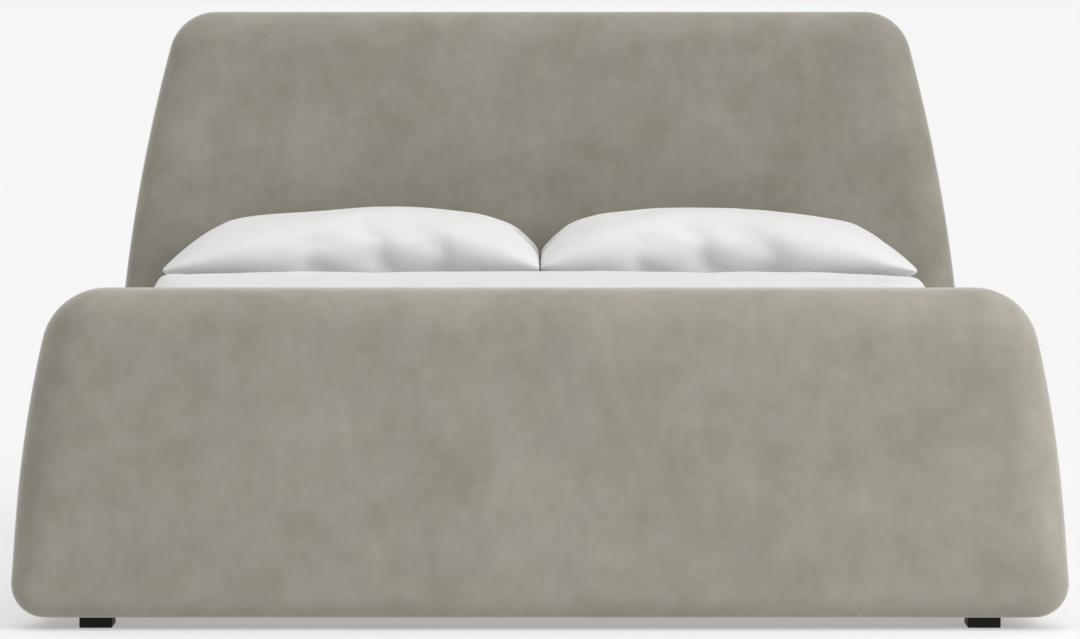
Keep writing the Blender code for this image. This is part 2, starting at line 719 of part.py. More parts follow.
def build_duvet():
    """A lofty slab on the mattress, with a thin edge that hangs down outside it at the sides and foot."""
    front = HEAD_END - PILLOW_FROM_HEADBOARD - PILLOW_SIZE[1] - DUVET_TO_PILLOW
    out = DUVET_HEM + DUVET_ROOM[0]
    top = MATTRESS_TOP + TOUCH + DUVET_LOFT
    duvet = rounded_block(
        "duvet",
        (-MATTRESS_WIDTH / 2 - out, -MATTRESS_LENGTH / 2 - out, top - DUVET_DROP),
        (MATTRESS_WIDTH / 2 + out, front, top),
        DUVET_CORNER,
        DUVET_EDGE,
        COTTON,
    )
    room = DUVET_ROOM[1]
    low = (-MATTRESS_WIDTH / 2 - room, -MATTRESS_LENGTH / 2 - room, 0.0)
    high = (MATTRESS_WIDTH / 2 + room, MATTRESS_LENGTH, MATTRESS_TOP + TOUCH)
    boolean(duvet, rounded_block("duvet_hollow", low, high, DUVET_CORNER, HOLLOW_EDGE, COTTON, CUTTERS))


def pillow_cage(shape):
    """Shapes a finely cut unit cube into a stuffed pillow: full in the middle, thin along its seam."""
    for v in shape.verts:
        x, y, z = (2 * c for c in v.co)
        fullness = (1 - abs(x) ** PILLOW_POWERS[0]) ** 0.5 * (1 - abs(y) ** PILLOW_POWERS[1]) ** 0.5
        draw = 1 - PILLOW_WAIST * (1 - abs(x * y))
        v.co.x = x / 2 * (draw if abs(x) > 0.99 else 1)
        v.co.y = y / 2 * (draw if abs(y) > 0.99 else 1)
        v.co.z = z / 2 * (PILLOW_SEAM + (1 - PILLOW_SEAM) * fullness)


def build_pillow(word, side):
    shape = bmesh.new()
    bmesh.ops.create_cube(shape, size=1.0)
    bmesh.ops.subdivide_edges(shape, edges=shape.edges, cuts=PILLOW_CUTS, use_grid_fill=True)
    pillow_cage(shape)
    bmesh.ops.scale(shape, vec=PILLOW_SIZE, verts=shape.verts)
    made = from_bmesh("pillow_" + word, shape, COTTON)
    made.location = (
        side * (PILLOW_SIZE[0] / 2 + PILLOW_FROM_CENTRE),
        HEAD_END - PILLOW_FROM_HEADBOARD - PILLOW_SIZE[1] / 2,
        MATTRESS_TOP + TOUCH + PILLOW_SIZE[2] / 2,
    )
    smooth(made)


# ---------------------------------------------------------------- whole bed
def centre_on_floor():
    """Moves the whole bed along Y so that the origin is under the middle of its length."""
    bpy.context.view_layer.update()
    graph = bpy.context.evaluated_depsgraph_get()
    ends = []
    for kind in BOARDS:
        cover = bpy.data.objects[kind + "_cover"].evaluated_get(graph)
        ends += [(cover.matrix_world @ Vector(corner)).y for corner in cover.bound_box]
    CENTRE.location.y = -(min(ends) + max(ends)) / 2


def main():
    for kind in BOARDS:
        build_board(kind)
    for side_word, side in SIDES.items():
        build_rail(side_word, side)
        for end_word, end in ENDS.items():
            build_corner(end_word, end, side_word, side)
    build_base()
    build_beam()
    for end_word, end in ENDS.items():
        build_centre_leg(end_word, end)
    build_feet()
    build_mattress()
    build_duvet()
    for side_word, side in SIDES.items():
        build_pillow(side_word, side)
    centre_on_floor()


main()
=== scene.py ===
"""The looks of the upholstered sleigh bed: velvet covers, cotton bedding, and its base's timber and steel.

Metres, +Z up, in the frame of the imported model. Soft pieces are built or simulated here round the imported
solids, which stay where they are.
"""

import math

import bmesh
import bpy
import numpy as np
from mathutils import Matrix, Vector, noise


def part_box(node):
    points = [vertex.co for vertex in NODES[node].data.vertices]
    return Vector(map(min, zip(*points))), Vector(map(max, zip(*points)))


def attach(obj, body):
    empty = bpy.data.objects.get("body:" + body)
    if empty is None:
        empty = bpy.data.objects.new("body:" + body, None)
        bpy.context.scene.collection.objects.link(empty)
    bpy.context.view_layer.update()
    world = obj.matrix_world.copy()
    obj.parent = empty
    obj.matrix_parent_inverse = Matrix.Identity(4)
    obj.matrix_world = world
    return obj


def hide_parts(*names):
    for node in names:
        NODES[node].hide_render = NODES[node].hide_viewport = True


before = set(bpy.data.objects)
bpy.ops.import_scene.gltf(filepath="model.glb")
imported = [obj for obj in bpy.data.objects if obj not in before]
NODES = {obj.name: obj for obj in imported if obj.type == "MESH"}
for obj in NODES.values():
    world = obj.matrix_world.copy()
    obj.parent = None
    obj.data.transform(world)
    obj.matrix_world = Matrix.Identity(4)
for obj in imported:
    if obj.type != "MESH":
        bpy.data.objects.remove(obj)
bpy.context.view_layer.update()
FRAME_BODY = "bed_frame"
MATTRESS_BODY = "mattress_and_duvet"
SIDES = {"left": -1, "right": 1}
NOISE_SEED = 4

# ------------------------------ places read from the frame
HEAD_LOW, HEAD_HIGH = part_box("headboard_cover")
FOOT_LOW, FOOT_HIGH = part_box("footboard_cover")
RAIL_LOW, RAIL_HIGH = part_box("side_rail_right_cover")
BED_LOW, BED_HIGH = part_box("mattress")
HALF_WIDTH = FOOT_HIGH.x
HEAD_FACE = HEAD_LOW.y  # the headboard's front
FOOT_FACE = FOOT_HIGH.y  # the footboard's inner face
BASE = HEAD_LOW.z

# ------------------------------ shape of the padded boards
SIDE_DRAW_IN = 0.132  # share of the height by which the side draws in
SIDE_CURVE = 2.1
BASE_CORNER = 0.060
HEADBOARD_CORNER = 0.100
FOOTBOARD_CORNER = 0.110
HEADBOARD_THICKNESS = 0.160
FOOTBOARD_THICKNESS = 0.140
HEADBOARD_ROLL = 0.070
ROLL_START = 0.500
FOOTBOARD_FLARE = 0.020
FLARE_START = 0.080
ROUND_POWER = 2.25  # 2 would be an ellipse; more is fuller, with a softer start
SHOW_ROUNDING = (0.082, 0.072)  # how far in from the edge the front starts to turn, and how far back it goes
HIDDEN_ROUNDING = (0.040, 0.034)
BASE_ROUNDING = 0.55  # share of that rounding along the base
BASE_BLEND = 0.16  # height over which it comes to the full rounding
SEAM_IN = 0.052  # from a board's edge to the seam round its rear panel
SEAM_DEPTH = 0.0035
SEAM_HALF = 0.0028
SEAM_ABOVE_BASE = 0.02
SPINE_IN = 0.02  # from the end of a board's straight top to the end of its spine
SHOW_RINGS = (12, 16)  # rings of points on a face where it is round, and where it is flat
HIDDEN_RINGS = (9, 18)
PADDING_RIPPLE = (0.21, 0.0016)  # size and depth of the unevenness in the boards' padding
RAIL_RIPPLE = (0.24, 0.0014)
RIPPLE_SEEDS = {"headboard": 3, "footboard": 5}

# ------------------------------ camera and light
LENS = 179.6  # millimetres
SENSOR = 36.0
CAMERA_BACK = 9.30  # from the footboard's widest line
WIDEST_BEHIND_FACE = 0.056  # that line, behind the face that shows
CAMERA_HEIGHT = 0.973
CAMERA_PITCH = 2.695  # degrees down
FLOOR_TONE = 0.53
FLOOR_GLOW = 0.365
FLOOR_RADIUS = 90.0
SKY_SEEN = 0.92
SKY_LIGHT = 0.30
# name, strength, degrees to the right of the camera, degrees up, degrees across
SUNS = (
    ("overhead", 2.15, 0.0, 88.0, 95.0),
    ("from_the_right", 0.60, 60.0, 20.0, 60.0),
)
SOFT_BOX_AT = (4.2, -3.9, 1.9)
SOFT_BOX_AIM = (0.5, -1.1, 0.4)
SOFT_BOX_SIZE = 2.2
SOFT_BOX_POWER = 27.0
SOFT_BOX_SPREAD = 80.0  # degrees


# ------------------------------ mesh helpers
def new_piece(name, verts, faces, material, smooth=True):
    mesh = bpy.data.meshes.new(name)
    mesh.from_pydata([tuple(v) for v in verts], [], faces)
    shape = bmesh.new()
    shape.from_mesh(mesh)
    bmesh.ops.remove_doubles(shape, verts=shape.verts, dist=1e-5)
    shape.normal_update()
    bmesh.ops.recalc_face_normals(shape, faces=shape.faces)
    shape.to_mesh(mesh)
    shape.free()
    return piece_from(name, mesh, material, smooth)


def piece_from(name, mesh, material, smooth=True):
    made = bpy.data.objects.new(name, mesh)
    bpy.context.scene.collection.objects.link(made)
    mesh.materials.clear()
    mesh.materials.append(material)
    if smooth:
        mesh.shade_smooth()
    return made


def points_of(piece):
    flat = np.zeros(len(piece.data.vertices) * 3)
    piece.data.vertices.foreach_get("co", flat)
    return flat.reshape(-1, 3)


def set_points(piece, points):
    piece.data.vertices.foreach_set("co", points.astype(np.float32).ravel())
    piece.data.update()


def add_modifier(piece, name, kind, **values):
    made = piece.modifiers.new(name, kind)
    for key, value in values.items():
        setattr(made, key, value)
    return made


def apply_modifiers(piece):
    """Leaves the piece with the mesh its modifiers make, and no modifiers."""
    bpy.context.view_layer.update()
    evaluated = piece.evaluated_get(bpy.context.evaluated_depsgraph_get())
    mesh = bpy.data.meshes.new_from_object(evaluated)
    piece.modifiers.clear()
    piece.data = mesh
    return piece


def subdivide(piece, levels=1):
    return add_modifier(piece, "finish", "SUBSURF", levels=levels, render_levels=levels)


def ripple(points, size, depth, seed):
    """Smooth noise of this depth at each point, on features of about this size."""
    offset = Vector((seed * 7.3, seed * 3.1, seed * 1.7))
    return np.array([depth * noise.noise(Vector(p) / size + offset) for p in points])


def creases(points, size, depth, seed, stretch=(1.0, 1.0, 1.0)):
    """Narrow soft ridges that wander as folds in cotton do, nought between them."""
    offset = Vector((seed * 5.1, seed * 2.3, seed * 9.7))
    heights = []
    for point in points:
        place = Vector((point[0] * stretch[0], point[1] * stretch[1], point[2] * stretch[2])) / size + offset
        bent = place + 0.45 * noise.noise_vector(place * 0.6)
        ridge = 1 - min(1.0, abs(noise.noise(bent)) * 3.2)
        heights.append(depth * ridge * ridge * (0.5 + 0.5 * noise.noise(place * 0.37 + offset)))
    return np.array(heights)


def grid_faces(rows, columns, closed=True):
    """Faces of rows rings of columns points each, in order."""
    faces = []
    for i in range(rows - 1):
        for j in range(columns if closed else columns - 1):
            k = (j + 1) % columns
            faces.append((i * columns + j, i * columns + k, (i + 1) * columns + k, (i + 1) * columns + j))
    return faces


# ------------------------------ node helpers
class Shading:
    """A Principled material and short calls that add nodes to it."""

    def __init__(self, name, colour, roughness, **values):
        self.material = bpy.data.materials.new(name)
        self.material.use_nodes = True
        self.tree = self.material.node_tree
        self.shader = self.tree.nodes["Principled BSDF"]
        self.shader.inputs["Base Color"].default_value = (*colour, 1.0)
        self.shader.inputs["Roughness"].default_value = roughness
        for key, value in values.items():
            self.shader.inputs[key.replace("_", " ")].default_value = value
        self.place = self.tree.nodes.new("ShaderNodeTexCoord").outputs["Object"]
        self.height = None

    def link(self, source, target):
        self.tree.links.new(source, target)

    def math(self, operation, a, b):
        made = self.tree.nodes.new("ShaderNodeMath")
        made.operation = operation
        for socket, value in zip(made.inputs, (a, b)):
            if isinstance(value, (int, float)):
                socket.default_value = value
            else:
                self.link(value, socket)
        return made.outputs[0]

    def stretched(self, scale, turn=(0.0, 0.0, 0.0)):
        made = self.tree.nodes.new("ShaderNodeMapping")
        made.inputs["Scale"].default_value = scale
        made.inputs["Rotation"].default_value = turn
        self.link(self.place, made.inputs["Vector"])
        return made.outputs[0]

    def noise(self, scale, detail=2.0, roughness=0.5, place=None, low=0.0, high=1.0):
        made = self.tree.nodes.new("ShaderNodeTexNoise")
        made.inputs["Scale"].default_value = scale
        made.inputs["Detail"].default_value = detail
        made.inputs["Roughness"].default_value = roughness
        self.link(place or self.place, made.inputs["Vector"])
        return self.remap(made.outputs[0], 0.3, 0.7, low, high)

    def wave(self, scale, axis, distortion=0.0, low=0.0, high=1.0):
        made = self.tree.nodes.new("ShaderNodeTexWave")
        made.bands_direction = axis
        made.inputs["Scale"].default_value = scale
        made.inputs["Distortion"].default_value = distortion
        made.inputs["Detail"].default_value = 2.0
        self.link(self.place, made.inputs["Vector"])
        return self.remap(made.outputs[1], 0.0, 1.0, low, high)

    def remap(self, value, from_low, from_high, to_low, to_high):
        made = self.tree.nodes.new("ShaderNodeMapRange")
        names = ("From Min", "From Max", "To Min", "To Max")
        for key, limit in zip(names, (from_low, from_high, to_low, to_high)):
            made.inputs[key].default_value = limit
        self.link(value, made.inputs["Value"])
        return made.outputs[0]

    def mix(self, share, first, second):
        made = self.tree.nodes.new("ShaderNodeMix")
        made.data_type = "RGBA"
        self.link(share, made.inputs["Factor"])
        for socket, value in ((made.inputs["A"], first), (made.inputs["B"], second)):
            if isinstance(value, tuple):
                socket.default_value = (*value, 1.0)
            else:
                self.link(value, socket)
        return made.outputs["Result"]

    def colour(self, source):
        self.link(source, self.shader.inputs["Base Color"])

    def roughness(self, source):
        self.link(source, self.shader.inputs["Roughness"])

    def bump(self, source, strength, depth):
        made = self.tree.nodes.new("ShaderNodeBump")
        made.inputs["Strength"].default_value = strength
        made.inputs["Distance"].default_value = depth
        self.link(source, made.inputs["Height"])
        if self.height is not None:
            self.link(self.height, made.inputs["Normal"])
        self.height = made.outputs[0]
        self.link(self.height, self.shader.inputs["Normal"])


# ------------------------------ materials
VELVET_DARK = (0.243, 0.231, 0.188)
VELVET_PALE = (0.330, 0.309, 0.262)
VELVET_WARM = (0.326, 0.293, 0.256)


def velvet_material():
    """Short-pile velvet: brushed patches, faint crossing streaks and a pale sheen where it turns away."""
    sheen = {"Sheen_Weight": 0.70, "Sheen_Roughness": 0.36, "Sheen_Tint": (0.94, 0.95, 0.93, 1.0)}
    made = Shading("velvet", (0.30, 0.28, 0.24), 0.90, Specular_IOR_Level=0.18, **sheen)
    patches = made.noise(5.5, 3.0, 0.55, low=0.0, high=0.40)
    blots = made.noise(17.0, 4.0, 0.62, low=0.0, high=0.42)
    flecks = made.noise(46.0, 3.0, 0.6, low=0.0, high=0.16)
    upright = made.noise(9.0, 2.0, 0.5, made.stretched((5.0, 5.0, 0.8)), 0.0, 0.12)
    level = made.noise(9.0, 2.0, 0.5, made.stretched((1.1, 1.1, 9.0)), 0.0, 0.04)
    share = made.math("ADD", made.math("ADD", patches, blots), made.math("ADD", upright, level))
    share = made.math("ADD", share, flecks)
    brushed = made.mix(made.remap(share, 0.22, 0.96, 0.0, 1.0), VELVET_DARK, VELVET_PALE)
    warmth = made.noise(10.0, 3.0, 0.6, low=0.0, high=1.0)
    made.colour(made.mix(made.remap(warmth, 0.25, 1.0, 0.0, 0.45), brushed, VELVET_WARM))
    rubbed = made.noise(60.0, 4.0, 0.7, low=0.0, high=1.0)
    made.roughness(made.remap(share, 0.0, 1.0, 0.96, 0.82))
    made.bump(made.noise(1400.0, 2.0, 0.6), 0.22, 0.0004)
    made.bump(made.noise(210.0, 3.0, 0.6), 0.16, 0.0006)
    made.bump(rubbed, 0.10, 0.0012)
    return made.material


def cotton_material(name, tone, rib=0.0):
    """Plain-weave cotton, with threads both ways and the softest unevenness of laundered cloth."""
    sheen = {"Sheen_Weight": 0.12, "Sheen_Roughness": 0.5}
    made = Shading(name, (tone, tone, tone * 0.995), 0.82, Specular_IOR_Level=0.25, **sheen)
    uneven = made.noise(14.0, 3.0, 0.55, low=0.0, high=1.0)
    shade = tone * 0.965
    made.colour(made.mix(uneven, (shade, shade, shade * 0.997), (tone, tone, tone)))
    across = made.wave(260.0, "X", 1.2)
    along = made.wave(260.0, "Y", 1.2)
    upright = made.wave(260.0, "Z", 1.2)
    weave = made.math("ADD", made.math("ADD", across, along), upright)
    made.bump(weave, 0.10, 0.0003)
    made.bump(made.noise(38.0, 4.0, 0.6), 0.30, 0.0022)
    if rib:
        made.bump(made.wave(rib, "X"), 0.3, 0.001)
    return made.material


def wood_material(name, light, dark, along, layers=False):
    """Sawn softwood whose grain runs along one axis, with paler and darker years and a few fine pores."""
    made = Shading(name, light, 0.58, Specular_IOR_Level=0.3)
    axis = "XYZ".index(along)
    scale = [1.0, 1.0, 1.0]
    scale[axis] = 0.06
    grain = made.noise(34.0, 5.0, 0.62, made.stretched(tuple(scale)))
    scale[axis] = 0.02
    fine = made.noise(260.0, 3.0, 0.6, made.stretched(tuple(scale)))
    board = made.noise(1.3, 1.0, 0.5, low=0.0, high=0.30)
    share = made.math("ADD", made.remap(grain, 0.0, 1.0, 0.0, 0.58), made.remap(fine, 0.0, 1.0, 0.0, 0.18))
    share = made.math("ADD", share, board)
    if layers:
        plies = made.wave(70.0, "X", 0.4, 0.0, 0.5)
        share = made.math("ADD", share, plies)
    made.colour(made.mix(share, light, dark))
    made.roughness(made.remap(fine, 0.0, 1.0, 0.50, 0.68))
    made.bump(fine, 0.16, 0.0006)
    made.bump(grain, 0.10, 0.0010)
    return made.material


def steel_material(name, colour, roughness, metallic, grain):
    """Coated or plated steel: a fine peel in the coat and slightly uneven gloss."""
    made = Shading(name, colour, roughness, Metallic=metallic)
    peel = made.noise(grain, 2.0, 0.5)
    worn = made.noise(26.0, 4.0, 0.65)
    made.roughness(made.remap(worn, 0.0, 1.0, roughness * 0.85, min(1.0, roughness * 1.3)))
    paler = tuple(min(1.0, c * 1.25 + 0.004) for c in colour)
    made.colour(made.mix(made.remap(worn, 0.55, 1.0, 0.0, 0.6), colour, paler))
    made.bump(peel, 0.12, 0.0003)
    return made.material


def plastic_material():
    """Moulded black plastic with a spark-eroded grain."""
    made = Shading("black_plastic", (0.008, 0.008, 0.009), 0.50, Specular_IOR_Level=0.22)
    grain = made.noise(620.0, 2.0, 0.5)
    scuff = made.noise(40.0, 4.0, 0.65)
    made.colour(made.mix(made.remap(scuff, 0.5, 1.0, 0.0, 0.5), (0.008, 0.008, 0.009), (0.014, 0.014, 0.015)))
    made.roughness(made.remap(scuff, 0.0, 1.0, 0.40, 0.60))
    made.bump(grain, 0.25, 0.0003)
    return made.material


def webbing_material():
    """Charcoal polyester webbing: a tight twill with paler selvedge threads."""
    made = Shading("webbing", (0.06, 0.06, 0.065), 0.80, Specular_IOR_Level=0.25)
    twill = made.wave(330.0, "DIAGONAL")
    rib = made.wave(210.0, "Y")
    made.colour(made.mix(made.math("MULTIPLY", twill, rib), (0.035, 0.035, 0.040), (0.105, 0.105, 0.112)))
    made.bump(twill, 0.4, 0.0006)
    return made.material


def dust_cloth_material():
    """Black spun-bonded cloth with its small embossed dots."""
    made = Shading("dust_cloth", (0.022, 0.022, 0.023), 0.95, Specular_IOR_Level=0.12)
    dots = made.math("MULTIPLY", made.wave(120.0, "X"), made.wave(120.0, "Y"))
    fibres = made.noise(380.0, 4.0, 0.7)
    made.colour(made.mix(made.math("MULTIPLY", dots, fibres), (0.014, 0.014, 0.015), (0.040, 0.040, 0.042)))
    made.bump(dots, 0.4, 0.0005)
    return made.material


VELVET = velvet_material()
COTTON = cotton_material("white_cotton", 0.70)
SHEET_COTTON = cotton_material("fitted_sheet", 0.70)
TICKING = cotton_material("mattress_ticking", 0.68, rib=34.0)
SLAT_PINE = wood_material("slat_pine", (0.62, 0.46, 0.28), (0.42, 0.27, 0.14), "X")
PINE = wood_material("pine", (0.60, 0.44, 0.27), (0.40, 0.26, 0.13), "Y")
FRAME_PINE = wood_material("frame_pine", (0.60, 0.44, 0.27), (0.40, 0.26, 0.13), "Z")
PLYWOOD = wood_material("plywood", (0.56, 0.42, 0.26), (0.38, 0.26, 0.15), "Y", layers=True)
BLACK_STEEL = steel_material("black_steel", (0.020, 0.020, 0.022), 0.44, 0.0, 900.0)
ZINC = steel_material("zinc", (0.62, 0.62, 0.60), 0.34, 1.0, 500.0)
PLASTIC = plastic_material()
WEBBING = webbing_material()
DUST = dust_cloth_material()


# ------------------------------ padded boards
def side_at(height, z):
    """Half width of a board of that height, at level z."""
    return HALF_WIDTH - SIDE_DRAW_IN * height * (z / height) ** SIDE_CURVE


def side_slope(height, z):
    """Angle of the side from upright at level z."""
    return math.atan(SIDE_CURVE * SIDE_DRAW_IN * (z / height) ** (SIDE_CURVE - 1))


def spread(low, high, count):
    """count values from low to high, both included."""
    return [low + (high - low) * i / (count - 1) for i in range(count)]


def board_outline(height, corner, runs=30, arcs=14, sides=22):
    """Points (x, z, place on the spine) round a board. Its faces are drawn in to the spine, a level line."""
    tangent = height - corner
    for _ in range(5):
        tangent = height - corner + corner * math.sin(side_slope(height, tangent))
    slope = side_slope(height, tangent)
    top = (side_at(height, tangent) - corner * math.cos(slope), height - corner)
    base = (side_at(height, BASE) - BASE_CORNER, BASE + BASE_CORNER)
    right = [(base[0] * i / runs, BASE, i / runs) for i in range(runs)]
    for angle in spread(-math.pi / 2, 0, arcs):
        right.append((base[0] + BASE_CORNER * math.cos(angle), base[1] + BASE_CORNER * math.sin(angle), 1.0))
    for z in spread(BASE + BASE_CORNER, tangent, sides)[1:-1]:
        right.append((side_at(height, z), z, 1.0))
    for angle in spread(slope, math.pi / 2, arcs):
        right.append((top[0] + corner * math.cos(angle), top[1] + corner * math.sin(angle), 1.0))
    right += [(top[0] * i / runs, height, i / runs) for i in range(runs - 1, -1, -1)]
    return right + [(-x, z, -s) for x, z, s in reversed(right[1:-1])]


def distance_inside(points, outline):
    """Distance of each (x, z) from a closed outline."""
    ends = np.roll(outline, -1, axis=0)
    run = ends - outline
    length = (run**2).sum(1)
    best = np.full(len(points), 9.0)
    for a, d, l in zip(outline, run, length):
        share = np.clip(((points - a) @ d) / l, 0, 1)
        gap = points - a - share[:, None] * d
        best = np.minimum(best, np.sqrt((gap**2).sum(1)))
    return best


def rounded_drop(distance, reach, depth):
    """How far a padded face has fallen back at this distance from its edge."""
    share = np.clip(1 - distance / reach, 0, 1)
    return depth * (1 - (1 - share**ROUND_POWER) ** (1 / ROUND_POWER))


def board_levels(reach, count_round, count_flat):
    """Shares of the way from the outline to the spine, close together where the edge is round."""
    near = [reach * (1 - math.cos(a)) for a in spread(0.0, math.pi / 2, count_round)]
    return near + spread(reach, 1.0, count_flat)[1:]


def build_board(kind, front, back, height, corner, shift):
    """A padded board, fully rounded on its show face, tighter along its base and on its hidden face."""
    outline = np.array(board_outline(height, corner))
    edge, target = outline[:, :2], np.zeros((len(outline), 2))
    target[:, 0] = outline[:, 2] * (HALF_WIDTH - height / 2 - SPINE_IN)
    target[:, 1] = (BASE + height) / 2

    def ring(share, face, inward, rounding):
        """One ring of points, this share of the way in from the outline on one of the two faces."""
        flat = edge + (target - edge) * share
        gap = distance_inside(flat, edge)
        full = BASE_ROUNDING + (1 - BASE_ROUNDING) * np.clip((edge[:, 1] - BASE) / BASE_BLEND, 0, 1)
        drop = rounded_drop(gap, rounding[0] * full, rounding[1] * full)
        if rounding is HIDDEN_ROUNDING:
            seam = SEAM_DEPTH * np.exp(-(((gap - SEAM_IN) / SEAM_HALF) ** 2))
            drop += seam * (flat[:, 1] > BASE + SEAM_ABOVE_BASE)
        return np.column_stack([flat[:, 0], face + inward * drop, flat[:, 1]])

    near_levels = board_levels(SHOW_ROUNDING[0] * 2 / height, *SHOW_RINGS)
    far_levels = board_levels(HIDDEN_ROUNDING[0] * 2 / height, *HIDDEN_RINGS)
    near = [ring(share, front, 1, SHOW_ROUNDING) for share in reversed(near_levels)]
    far = [ring(share, back, -1, HIDDEN_ROUNDING) for share in far_levels]
    band = [near[-1] + (far[0] - near[-1]) * share for share in (0.25, 0.5, 0.75)]
    rings = near + band + far
    points = np.concatenate(rings)
    points[:, 1] += ripple(points, *PADDING_RIPPLE, RIPPLE_SEEDS[kind])
    points[:, 1] = [shift(y, z) for y, z in points[:, 1:]]
    made = new_piece(kind + "_velvet", points, grid_faces(len(rings), len(outline)), VELVET)
    subdivide(made)
    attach(made, FRAME_BODY)
    foams = [n for n in NODES if n.startswith(kind) and n.endswith("foam")]
    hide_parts(kind + "_cover", *foams)


def headboard_shift(y, z):
    """The whole headboard rolls back above the mattress."""
    share = max(0.0, z - ROLL_START) / (HEAD_HIGH.z - ROLL_START)
    return y + HEADBOARD_ROLL * share**2


def footboard_shift(y, z):
    """Only the footboard's outside leans out."""
    share = max(0.0, z - FLARE_START) / (FOOT_HIGH.z - FLARE_START)
    outward = (FOOT_FACE - y) / FOOTBOARD_THICKNESS
    return y - FOOTBOARD_FLARE * share * min(1.0, max(0.0, outward))


def build_boards():
    head_back = HEAD_FACE + HEADBOARD_THICKNESS
    foot_front = FOOT_FACE - FOOTBOARD_THICKNESS
    build_board("headboard", HEAD_FACE, head_back, HEAD_HIGH.z, HEADBOARD_CORNER, headboard_shift)
    build_board("footboard", foot_front, FOOT_FACE, FOOT_HIGH.z, FOOTBOARD_CORNER, footboard_shift)


# ------------------------------ side rails
RAIL_TOP = 0.360
RAIL_SWEEP = 0.220
SWEEP_AT_HEAD = 0.122
SWEEP_AT_FOOT = 0.100
RAIL_SET_IN = 0.030
RAIL_OUTER_EDGE = (0.040, 0.55)  # rounding along the top, and its most as a share of the rail's thickness
RAIL_INNER_EDGE = (0.018, 0.35)
RAIL_BASE_EDGE = 0.026
RAIL_UNDERSIDE_IN = 0.03  # from the outside to the last point of the flat underside
RAIL_STATIONS = 61


def rail_top_at(y):
    """Height and slope of the rail's upper edge."""
    middle = (RAIL_LOW.y + RAIL_HIGH.y) / 2
    half = (RAIL_HIGH.y - RAIL_LOW.y) / 2
    rise = SWEEP_AT_HEAD if y > middle else SWEEP_AT_FOOT
    start = half - RAIL_SWEEP * math.sin(math.acos(1 - rise / RAIL_SWEEP))
    past = max(0.0, abs(y - middle) - start)
    drop = math.sqrt(max(1e-6, RAIL_SWEEP**2 - past**2))
    return RAIL_TOP + RAIL_SWEEP - drop, past / drop


def rail_section(y):
    """Points (x, z) round the right-hand rail's section at one place along it."""
    inside, top = RAIL_LOW.x, rail_top_at(y)
    stretch = math.sqrt(1 + top[1] ** 2)
    share = (y - RAIL_LOW.y) / (RAIL_HIGH.y - RAIL_LOW.y)

    def outside(z):
        both = (1 - share) * side_at(FOOT_HIGH.z, z) + share * side_at(HEAD_HIGH.z, z)
        return both - RAIL_SET_IN

    level = top[0]
    thickness = outside(level) - inside
    outer = min(RAIL_OUTER_EDGE[0], thickness * RAIL_OUTER_EDGE[1])
    inner = min(RAIL_INNER_EDGE[0], thickness * RAIL_INNER_EDGE[1])
    underside = outside(BASE) - RAIL_UNDERSIDE_IN - inside
    section = [(inside + underside * i / 6, BASE) for i in range(6)]
    for angle in spread(-math.pi / 2, 0, 7):
        z = BASE + RAIL_BASE_EDGE * (1 + math.sin(angle))
        section.append((outside(z) - RAIL_BASE_EDGE * (1 - math.cos(angle)), z))
    for z in spread(BASE + RAIL_BASE_EDGE, level - outer * stretch, 14)[1:-1]:
        section.append((outside(z), z))
    for angle in spread(0, math.pi / 2, 10):
        z = level - outer * stretch * (1 - math.sin(angle))
        section.append((outside(z) - outer * (1 - math.cos(angle)), z))
    start, end = section[-1][0], inside + inner
    section += [(start + (end - start) * i / 4, level) for i in (1, 2, 3)]
    for angle in spread(math.pi / 2, math.pi, 6):
        z = level - inner * stretch * (1 - math.sin(angle))
        section.append((inside + inner * (1 + math.cos(angle)), z))
    section += [(inside, z) for z in spread(level - inner * stretch, BASE, 12)[1:-1]]
    return section


def build_rails():
    half = (RAIL_HIGH.y - RAIL_LOW.y) / 2
    middle = (RAIL_LOW.y + RAIL_HIGH.y) / 2
    stations = [middle + half * math.sin(a) for a in spread(-math.pi / 2, math.pi / 2, RAIL_STATIONS)]
    for word, side in SIDES.items():
        rings = []
        for y in stations:
            section = np.array(rail_section(y))
            rings.append(np.column_stack([section[:, 0], np.full(len(section), y), section[:, 1]]))
        columns = len(rings[0])
        points = np.concatenate(rings)
        proud = (points[:, 0] > RAIL_LOW.x + 0.03) & (points[:, 2] > BASE + 0.01)
        points[:, 0] += ripple(points, *RAIL_RIPPLE, 8 + side) * proud
        points[:, 0] *= side
        faces = grid_faces(len(rings), columns)
        faces += [tuple(range(columns)), tuple(range(len(points) - columns, len(points)))]
        made = new_piece(f"side_rail_{word}_velvet", points, faces, VELVET)
        subdivide(made)
        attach(made, FRAME_BODY)
        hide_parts(f"side_rail_{word}_cover", f"side_rail_{word}_foam")


# ------------------------------ pillows
PILLOW_CUT = (0.800, 0.560)  # width and length of the flat pillowcase
PILLOW_LOFT = 0.172  # thickness before its own weight presses the underside flat
PILLOW_OVERLAP = 0.013  # how much of a pillow's inner end is pressed back by its neighbour
PILLOW_LEAN = 0.046  # how far the fullest part lies towards the middle of the bed
TIP_DROOP = 0.028
INNER_DROOP = 0.024
INNER_DROOP_FROM = 0.55  # where that begins, as a share of the way to the inner end
PILLOW_SMOOTHING = 16
PILLOW_FILL = (0.05, 0.19)  # how far the stuffing pushes the waists of its two pairs of sides back out
PILLOW_CORNER = 0.050
PILLOW_STEP = 0.0115  # between threads of the cloth that is simulated
PILLOW_PRESSURE = 3.2
PILLOW_FRAMES = 24
PILLOW_RAISE = 0.070  # of its middle, before what is lower than the mattress is pressed flat
PRESS_SOFTNESS = (0.004, 0.010)  # how smoothly it turns where its neighbour and the mattress press it
PILLOW_TOP_ROOM = 0.0015
PILLOW_LIFT = 0.0008
PILLOW_RIPPLE = (0.19, 0.0035)
PILLOW_CREASES = (0.13, 0.0022)
CREASES_FROM = 0.03  # height over which the creases come in


